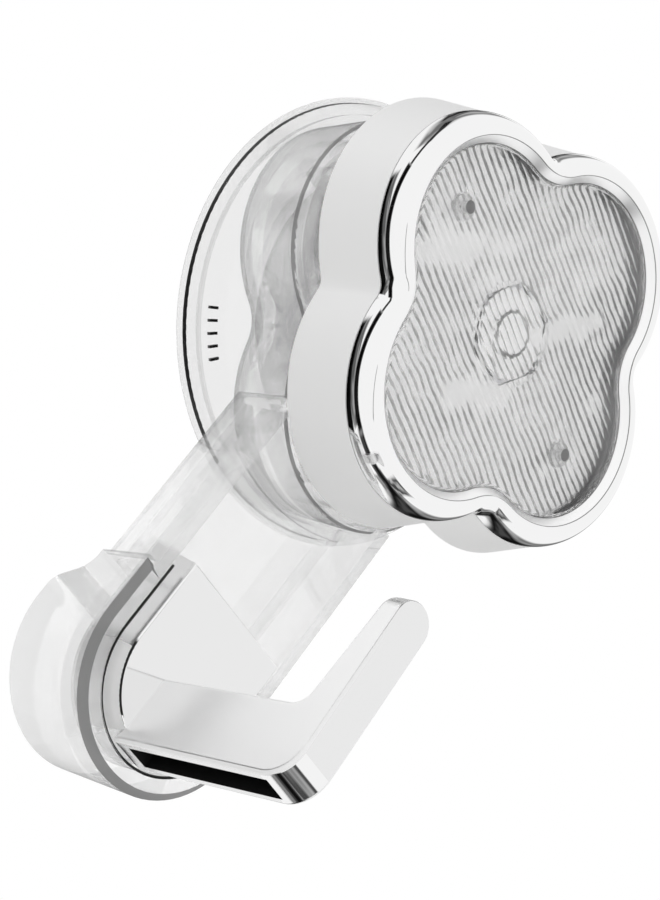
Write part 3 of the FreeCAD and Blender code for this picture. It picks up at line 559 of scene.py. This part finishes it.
def joint(distance, lobe, notch):
    """Centre of the hollow arc on the diagonal, and where the lobe's arc meets it."""
    half = distance * math.cos(math.pi / 4)
    hollow = half + math.sqrt(half ** 2 + (lobe + notch) ** 2 - distance ** 2)
    side = hollow * math.cos(math.pi / 4)
    share = lobe / (lobe + notch)
    return side, distance + (side - distance) * share, side * share


def reach(angle, distance, lobe, notch):
    """Distance in mm from the axis to a clover's outline, at an angle from one of its lobes."""
    side, along, across = joint(distance, lobe, notch)
    near = abs((angle + math.pi / 4) % (math.pi / 2) - math.pi / 4)
    if near <= math.atan2(across, along):
        return distance * math.cos(near) + math.sqrt(lobe ** 2 - (distance * math.sin(near)) ** 2)
    beside, hollow = math.pi / 4 - near, side * math.sqrt(2)
    return hollow * math.cos(beside) - math.sqrt(notch ** 2 - (hollow * math.sin(beside)) ** 2)


def in_frame(along, across, depth):
    """A point of the turned knob, in mm along and across its lobes, as a place in the frame."""
    x = along * math.cos(KNOB_TURN) - across * math.sin(KNOB_TURN)
    z = along * math.sin(KNOB_TURN) + across * math.cos(KNOB_TURN)
    return Vector((x, -depth, z)) * MM


def clover_loop(distance, lobe, notch, depth):
    """The clover's outline at a depth, as STEPS points."""
    loop = []
    for step in range(STEPS):
        angle = 2 * math.pi * step / STEPS
        radius = reach(angle, distance, lobe, notch)
        loop.append(in_frame(radius * math.cos(angle), radius * math.sin(angle), depth))
    return loop


def add_piece(name, vertices, faces, material):
    """A shown piece of the object as a mesh with its normals outwards."""
    mesh = bpy.data.meshes.new(name)
    mesh.from_pydata(vertices, [], faces)
    work = bmesh.new()
    work.from_mesh(mesh)
    bmesh.ops.recalc_face_normals(work, faces=work.faces)
    work.to_mesh(mesh)
    work.free()
    mesh.shade_smooth()
    mesh.set_sharp_from_angle(angle=SHARP_FROM)
    mesh.materials.append(material)
    piece = bpy.data.objects.new(name, mesh)
    scene.collection.objects.link(piece)
    return piece


def skin_between(loops, wrap):
    """Vertices and quads through closed loops; wrap joins the last loop to the first."""
    vertices = [point for loop in loops for point in loop]
    faces = []
    count = len(loops)
    for row in range(count if wrap else count - 1):
        a, b = row * STEPS, (row + 1) % count * STEPS
        for step in range(STEPS):
            following = (step + 1) % STEPS
            faces.append((a + step, a + following, b + following, b + step))
    return vertices, faces


print("clover reach at a lobe and a notch: %.2f %.2f mm" % (
    reach(0, RING_DISTANCE, RING_LOBE, RING_NOTCH),
    reach(math.pi / 4, RING_DISTANCE, RING_LOBE, RING_NOTCH)))

# %% [markdown]
# ## The plated ring
#
# The ring's outside rolls over in one soft curve from the skirt to the crest, which is what makes
# the dark lines on it swell and thin out. It could be a fillet, but a quarter of an ellipse has
# no straight part and no visible start. Behind it a narrow rebate draws the seam with the skirt,
# and inside there is a narrow bevel down to the lens.

# %% Ring
WINDOW_DISTANCE, WINDOW_LOBE, WINDOW_NOTCH = 13.7, 13.8, 9.0
RING_REAR, RING_CREST, ROLL, ROLL_STEPS = 31.3, 35.2, 2.6, 16
SEAM_WIDTH, SEAM_DEPTH = 0.2, 0.35
LENS_STEP, STEP_LOBE = 33.4, 15.2
ROLL_REAR = RING_REAR + SEAM_WIDTH
# distance out from the window and depth: the crest's inner edge, the bevel, and down to the lens
WINDOW_ROWS = ((1.3, RING_CREST), (1.15, 35.15), (1.05, 35.05), (0.08, 34.15), (0.0, 34.0),
               (0.0, LENS_STEP))
profile = [(RING_DISTANCE, RING_LOBE - SEAM_DEPTH, RING_NOTCH + SEAM_DEPTH, depth)
           for depth in (RING_REAR, ROLL_REAR)]
for step in range(ROLL_STEPS + 1):
    swing = math.radians(90 * step / ROLL_STEPS)
    inset = ROLL * (1 - math.cos(swing))
    profile.append((RING_DISTANCE, RING_LOBE - inset, RING_NOTCH + inset,
                    ROLL_REAR + (RING_CREST - ROLL_REAR) * math.sin(swing)))
for outward, depth in WINDOW_ROWS:
    profile.append((WINDOW_DISTANCE, WINDOW_LOBE + outward, WINDOW_NOTCH - outward, depth))
profile.append((WINDOW_DISTANCE, STEP_LOBE, WINDOW_NOTCH, LENS_STEP))
profile.append((WINDOW_DISTANCE, STEP_LOBE, WINDOW_NOTCH, RING_REAR))
ring = add_piece("ring_rolled", *skin_between([clover_loop(*row) for row in profile], True), chrome)
ring.data.materials.append(foil)
# painted shade: the bevel's two edges carry a dark line
ring.data.materials.append(painted_bevel_line)
# painted light: the bevel takes a lighter copy of the plating
ring.data.materials.append(painted_light_plating)
# rows of faces, counted from the profile's end: the back, both edges of the bevel, the bevel
HIDDEN_FROM = len(profile) - 3
DARK_LINE_ROWS = (len(profile) - 7, len(profile) - 5)
BEVEL = len(profile) - 6
for face in ring.data.polygons:
    if face.index // STEPS >= HIDDEN_FROM:
        face.material_index = 1
    elif face.index // STEPS in DARK_LINE_ROWS:
        face.material_index = 2
    elif face.index // STEPS == BEVEL:
        face.material_index = 3
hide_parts("trim_ring")
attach(ring, "knob")
print("ring faces:", len(ring.data.polygons))

# %% [markdown]
# ## The fluted lens
#
# The lens is a clear pane with a smooth front and fine parallel flutes on its back. The back is a
# fine grid that fits the outline, and Geometry Nodes press the flutes into it: the distance across
# the grid, folded into a zigzag, becomes the depth. Each vertex carries a weight that fades the
# flutes out at the border and along the polished swaths, and makes them a little uneven.

# %% Flutes as Geometry Nodes
def socket_in(tree, name, kind, value=None):
    """Add a named input to a tree and give its identifier."""
    socket = tree.interface.new_socket(name, in_out="INPUT", socket_type=kind)
    if value is not None:
        socket.default_value = value
    return socket.identifier


def flute_tree(material):
    """A tree that presses parallel V-shaped flutes into the back of a pane."""
    tree = bpy.data.node_groups.new("press_flutes", "GeometryNodeTree")
    socket_in(tree, "Geometry", "NodeSocketGeometry")
    names = {"pitch": socket_in(tree, "Pitch", "NodeSocketFloat", 0.001),
             "depth": socket_in(tree, "Depth", "NodeSocketFloat", 0.0004),
             "across": socket_in(tree, "Across", "NodeSocketVector")}
    tree.interface.new_socket("Geometry", in_out="OUTPUT", socket_type="NodeSocketGeometry")
    given = add(tree, "NodeGroupInput")
    weight = add(tree, "GeometryNodeInputNamedAttribute", data_type="FLOAT", Name="flute")
    place = add(tree, "GeometryNodeInputPosition")
    across = add(tree, "ShaderNodeVectorMath", [(0, place.outputs[0]), (1, given.outputs["Across"])],
                 operation="DOT_PRODUCT")
    turns = add(tree, "ShaderNodeMath", [(0, across.outputs["Value"]), (1, given.outputs["Pitch"])],
                operation="DIVIDE")
    fold = add(tree, "ShaderNodeMath", [(0, turns.outputs[0])], operation="PINGPONG")
    fold.inputs[1].default_value = 0.5
    twice = add(tree, "ShaderNodeMath", [(0, fold.outputs[0])], operation="MULTIPLY")
    twice.inputs[1].default_value = 2.0
    deep = add(tree, "ShaderNodeMath", [(0, twice.outputs[0]), (1, given.outputs["Depth"])],
               operation="MULTIPLY")
    faded = add(tree, "ShaderNodeMath", [(0, deep.outputs[0]), (1, weight.outputs[0])],
                operation="MULTIPLY")
    inwards = add(tree, "ShaderNodeMath", [(0, faded.outputs[0])], operation="MULTIPLY")
    inwards.inputs[1].default_value = -1.0
    offset = add(tree, "ShaderNodeCombineXYZ", [("Y", inwards.outputs[0])])
    moved = add(tree, "GeometryNodeSetPosition", [("Geometry", given.outputs["Geometry"]),
                                                  ("Offset", offset.outputs[0])])
    real = add(tree, "GeometryNodeRealizeInstances", [("Geometry", moved.outputs[0])])
    dressed = add(tree, "GeometryNodeSetMaterial", [("Geometry", real.outputs[0])],
                  Material=material)
    add(tree, "NodeGroupOutput", [("Geometry", dressed.outputs[0])])
    return tree, names


def bake(piece, tree, values):
    """Give a piece its tree's inputs, keep the result as a plain mesh and drop the modifier."""
    modifier = piece.modifiers.new("rule", "NODES")
    modifier.node_group = tree
    for identifier, value in values.items():
        modifier[identifier] = value
    depsgraph = bpy.context.evaluated_depsgraph_get()
    made = bpy.data.meshes.new_from_object(piece.evaluated_get(depsgraph))
    piece.modifiers.remove(modifier)
    made.name = piece.name
    piece.data = made
    return made


press, press_inputs = flute_tree(acrylic)
print("inputs of the flutes:", sorted(press_inputs))

# %% Lens
FLUTE_PITCH, FLUTE_DEPTH, ROW = 1.15, 0.28, 0.115
LENS_REAR, LENS_LOBE, PANE_LOBE, COLUMNS = 31.3, 13.7, 15.05, 64
BOSS_DISTANCE, BOSS_RADIUS, BOSS_BORE, BOSS_REAR, BOSS_STEPS = 19.8, 1.8, 0.95, 29.5, 40
# inset and depth of the lens's front, from its flat face over a small round to its side
FRONT_ROWS = ((6.0, 33.95), (0.4, 33.95), (0.22, 33.9), (0.08, 33.78), (0.0, 33.6),
              (0.0, LENS_STEP))
# the flutes start this far inside the window and are at full depth a little further in
FADE_START, FADE_WIDTH = 0.1, 0.5
# slow unevenness of the depth: its rate along and across, mean, swing and least share
UNEVEN_ALONG, UNEVEN_ACROSS, UNEVEN_MEAN, UNEVEN_SWING, UNEVEN_LEAST = 0.3, 0.16, 0.95, 0.8, 0.1
# along and across of both ends, width and strength of each swath: near 1 is polished flat, less
# leaves shallow flutes, and below 0 makes them deeper
SWATHS = [((-19.0, -9.5), (-14.5, -2.0), 2.3, 0.95), ((0.5, -13.5), (6.5, -5.5), 2.3, 0.95),
          ((2.5, 4.0), (7.5, 16.0), 1.8, 0.95), ((-14.5, -2.0), (-10.0, 6.5), 2.4, 0.6),
          ((-22.0, -5.5), (-22.2, -1.0), 2.2, 0.5), ((-9.2, -3.0), (-6.2, 4.6), 1.8, 0.5),
          ((0.8, -6.0), (1.4, -5.4), 1.3, 0.5), ((-4.0, 17.0), (3.0, 21.0), 6.0, -0.25),
          ((-9.0, -20.0), (-2.0, -23.0), 5.0, -0.3)]


def inside_by(along, across, distance, lobe, notch):
    """How far inside a clover's outline a point lies, in mm."""
    long, short = max(abs(along), abs(across)), min(abs(along), abs(across))
    side, joint_along, joint_across = joint(distance, lobe, notch)
    if math.atan2(short, long) <= math.atan2(joint_across, joint_along) or long < distance:
        return lobe - math.hypot(long - distance, short)
    return math.hypot(long - side, short - side) - notch


def half_chord(across, distance, lobe, notch):
    """Half the length of a line across the clover at a distance from its centre."""
    side, joint_along, joint_across = joint(distance, lobe, notch)
    off = abs(across)
    if off <= joint_across:
        return distance + math.sqrt(lobe ** 2 - off ** 2)
    if off <= joint_along:
        return side - math.sqrt(max(notch ** 2 - (off - side) ** 2, 0.0))
    return math.sqrt(max(lobe ** 2 - (off - distance) ** 2, 0.0))


def fade(along, across):
    """Weight of the flutes: none at the border, less on the polished swaths."""
    edge = inside_by(along, across, WINDOW_DISTANCE, WINDOW_LOBE, WINDOW_NOTCH)
    weight = min(max((edge - FADE_START) / FADE_WIDTH, 0.0), 1.0)
    for (a0, b0), (a1, b1), width, strength in SWATHS:
        da, db = a1 - a0, b1 - b0
        share = ((along - a0) * da + (across - b0) * db) / (da * da + db * db)
        share = min(max(share, 0.0), 1.0)
        gap = math.hypot(along - a0 - da * share, across - b0 - db * share)
        weight *= 1 - strength * math.exp(-(gap / width) ** 2)
    slow = noise.noise(Vector((along * UNEVEN_ALONG, across * UNEVEN_ACROSS, 0.0)))
    return weight * max(UNEVEN_MEAN + UNEVEN_SWING * slow, UNEVEN_LEAST)


loops = []
for inset, depth in FRONT_ROWS:
    loops.append(clover_loop(WINDOW_DISTANCE, LENS_LOBE - inset, WINDOW_NOTCH + inset, depth))
loops.append(clover_loop(WINDOW_DISTANCE, PANE_LOBE, WINDOW_NOTCH, LENS_STEP))
loops.append(clover_loop(WINDOW_DISTANCE, PANE_LOBE, WINDOW_NOTCH, LENS_REAR))
vertices, faces = skin_between(loops, False)
faces.append(tuple(range(STEPS)))
weights = [0.0] * len(vertices)
rows = int((WINDOW_DISTANCE + PANE_LOBE) / ROW)
first = len(vertices)
for row in range(-rows, rows + 1):
    across = row * ROW
    half = half_chord(across, WINDOW_DISTANCE, PANE_LOBE, WINDOW_NOTCH)
    for column in range(COLUMNS + 1):
        along = half * (2 * column / COLUMNS - 1)
        vertices.append(in_frame(along, across, LENS_REAR))
        weights.append(fade(along, across))
for row in range(2 * rows):
    for column in range(COLUMNS):
        corner = first + row * (COLUMNS + 1) + column
        faces.append((corner, corner + 1, corner + COLUMNS + 2, corner + COLUMNS + 1))
corners = ((BOSS_RADIUS, BOSS_REAR), (BOSS_RADIUS, LENS_REAR),
           (BOSS_BORE, LENS_REAR), (BOSS_BORE, BOSS_REAR))
for spot in (BOSS_DISTANCE, -BOSS_DISTANCE):
    base = len(vertices)
    for step in range(BOSS_STEPS):
        swing = 2 * math.pi * step / BOSS_STEPS
        for radius, depth in corners:
            along, across = spot + radius * math.cos(swing), radius * math.sin(swing)
            vertices.append(in_frame(along, across, depth))
            weights.append(0.0)
        following = (step + 1) % BOSS_STEPS
        for k in range(len(corners)):
            a, b, c = base + 4 * step, base + 4 * following, (k + 1) % 4
            faces.append((a + k, a + c, b + c, b + k))
lens = add_piece("lens_fluted", vertices, faces, acrylic)
flute = lens.data.attributes.new("flute", "FLOAT", "POINT")
flute.data.foreach_set("value", weights)
across_axis = (-math.sin(KNOB_TURN), 0.0, math.cos(KNOB_TURN))
bake(lens, press, {press_inputs["pitch"]: FLUTE_PITCH * MM,
                   press_inputs["depth"]: FLUTE_DEPTH * MM,
                   press_inputs["across"]: across_axis})
lens.data.set_sharp_from_angle(angle=SHARP_FROM)
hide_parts("fluted_lens")
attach(lens, "knob")
print("lens faces:", len(lens.data.polygons))

# %% [markdown]
# ## Grip ribs on the cup
#
# A few short ribs stand on the cup's back near its rim, where a finger lifts it off the wall. They
# are moulded with the cup. A rule places them: each next rib is turned by the same angle, so
# Geometry Nodes repeat one small bar along an arc.

# %% Ribs as Geometry Nodes
def rib_tree(material):
    """A tree that repeats one small bar along an arc, each turned to point at its middle."""
    tree = bpy.data.node_groups.new("repeat_ribs", "GeometryNodeTree")
    names = {"count": socket_in(tree, "Count", "NodeSocketInt", 5),
             "radius": socket_in(tree, "Radius", "NodeSocketFloat", 0.03),
             "first": socket_in(tree, "First", "NodeSocketFloat", 0.0),
             "turn": socket_in(tree, "Turn", "NodeSocketFloat", 0.1),
             "depth": socket_in(tree, "Depth", "NodeSocketFloat", 0.0),
             "size": socket_in(tree, "Size", "NodeSocketVector")}
    tree.interface.new_socket("Geometry", in_out="OUTPUT", socket_type="NodeSocketGeometry")
    given = add(tree, "NodeGroupInput")
    points = add(tree, "GeometryNodeMeshLine", [("Count", given.outputs["Count"])])
    index = add(tree, "GeometryNodeInputIndex")
    swing = add(tree, "ShaderNodeMath", [(0, index.outputs[0]), (1, given.outputs["Turn"]),
                                         (2, given.outputs["First"])], operation="MULTIPLY_ADD")
    places = {}
    for axis, rule in (("X", "COSINE"), ("Z", "SINE")):
        unit = add(tree, "ShaderNodeMath", [(0, swing.outputs[0])], operation=rule)
        places[axis] = add(tree, "ShaderNodeMath", [(0, unit.outputs[0]),
                                                    (1, given.outputs["Radius"])],
                           operation="MULTIPLY").outputs[0]
    place = add(tree, "ShaderNodeCombineXYZ", [("X", places["X"]), ("Y", given.outputs["Depth"]),
                                               ("Z", places["Z"])])
    back = add(tree, "ShaderNodeMath", [(0, swing.outputs[0])], operation="MULTIPLY")
    back.inputs[1].default_value = -1.0
    facing = add(tree, "ShaderNodeCombineXYZ", [("Y", back.outputs[0])])
    spread = add(tree, "GeometryNodeSetPosition", [("Geometry", points.outputs[0]),
                                                   ("Position", place.outputs[0])])
    bar = add(tree, "GeometryNodeMeshCube", [("Size", given.outputs["Size"])])
    bars = add(tree, "GeometryNodeInstanceOnPoints", [("Points", spread.outputs[0]),
                                                      ("Instance", bar.outputs[0]),
                                                      ("Rotation", facing.outputs[0])])
    real = add(tree, "GeometryNodeRealizeInstances", [("Geometry", bars.outputs[0])])
    dressed = add(tree, "GeometryNodeSetMaterial", [("Geometry", real.outputs[0])],
                  Material=material)
    add(tree, "NodeGroupOutput", [("Geometry", dressed.outputs[0])])
    return tree, names


# the ribs take the near black painted shade, not the cup's clear vinyl
repeat, repeat_inputs = rib_tree(painted_dark_shade)
print("inputs of the ribs:", sorted(repeat_inputs))

# %% Ribs
RIB_COUNT, RIB_RADIUS, RIB_DEPTH, RIB_SIZE = 5, 28.4, 2.3, (1.4, 0.6, 0.4)
RIB_FIRST, RIB_TURN = math.radians(-138.6), math.radians(3.6)
ribs = add_piece("grip_ribs", [(0, 0, 0)], [], painted_dark_shade)
bake(ribs, repeat, {repeat_inputs["count"]: RIB_COUNT,
                    repeat_inputs["radius"]: RIB_RADIUS * MM,
                    repeat_inputs["first"]: RIB_FIRST,
                    repeat_inputs["turn"]: RIB_TURN,
                    repeat_inputs["depth"]: -RIB_DEPTH * MM,
                    repeat_inputs["size"]: tuple(side * MM for side in RIB_SIZE)})
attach(ribs, "base")
print("grip ribs:", len(ribs.data.polygons) // 6)

# %% [markdown]
# ## A painted shade line round the hook's seat
#
# A thin near black strip lies along the mouth of the seat. It is painted shade, standing in for the
# dark line along the seat's edge. It is thick along the straight side, thinner round the bend, and
# stops short on the right. It could be a curve with a bevel, but a swept ring of points makes the
# change of thickness plain.

# %% Painted shade line
SEAT_LINE_HALF, SEAT_LINE_DEPTH, SEAT_LINE_SIDES = 11.95, 20.0, 8
SEAT_MOUTH, SEAT_LINE_STOP = -55.6, -59.6
SEAT_LINE_THICK, SEAT_LINE_THIN = 0.2, 0.09
SIDE_STEPS, BEND_STEPS = 6, 36
# the line is at its thinnest where the sine of the angle round the bend is past this
THINNEST_FROM = 0.7
# each station of the line is an angle round the bend and the height of that arc's middle
drop = (SEAT_MIDDLE - SEAT_MOUTH) / SIDE_STEPS
straight = [(0.0, SEAT_MOUTH + drop * step) for step in range(SIDE_STEPS)]
stations = list(straight)
stations += [(math.pi * step / BEND_STEPS, SEAT_MIDDLE) for step in range(BEND_STEPS + 1)]
stations += [(math.pi, height) for swing, height in reversed(straight) if height < SEAT_LINE_STOP]
vertices, faces = [], []
for swing, height in stations:
    outwards = Vector((-math.cos(swing), 0.0, -math.sin(swing)))
    middle = Vector((0.0, -SEAT_LINE_DEPTH, height)) + outwards * SEAT_LINE_HALF
    thinning = min(math.sin(swing) / THINNEST_FROM, 1.0)
    thick = SEAT_LINE_THICK + (SEAT_LINE_THIN - SEAT_LINE_THICK) * thinning
    for side in range(SEAT_LINE_SIDES):
        roll = 2 * math.pi * side / SEAT_LINE_SIDES
        vertices.append((middle + outwards * thick * math.cos(roll)
                         + Vector((0.0, thick * math.sin(roll), 0.0))) * MM)
for row in range(len(stations) - 1):
    a, b = row * SEAT_LINE_SIDES, (row + 1) * SEAT_LINE_SIDES
    for side in range(SEAT_LINE_SIDES):
        following = (side + 1) % SEAT_LINE_SIDES
        faces.append((a + side, a + following, b + following, b + side))
faces.append(tuple(range(SEAT_LINE_SIDES)))
faces.append(tuple(range(len(vertices) - SEAT_LINE_SIDES, len(vertices))))
# painted shade: a dark strip along the seat's mouth, where there is only shade
shade_strip = add_piece("seat_shade_strip", vertices, faces, painted_seat_shade)
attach(shade_strip, "base")
print("cord stations:", len(stations))
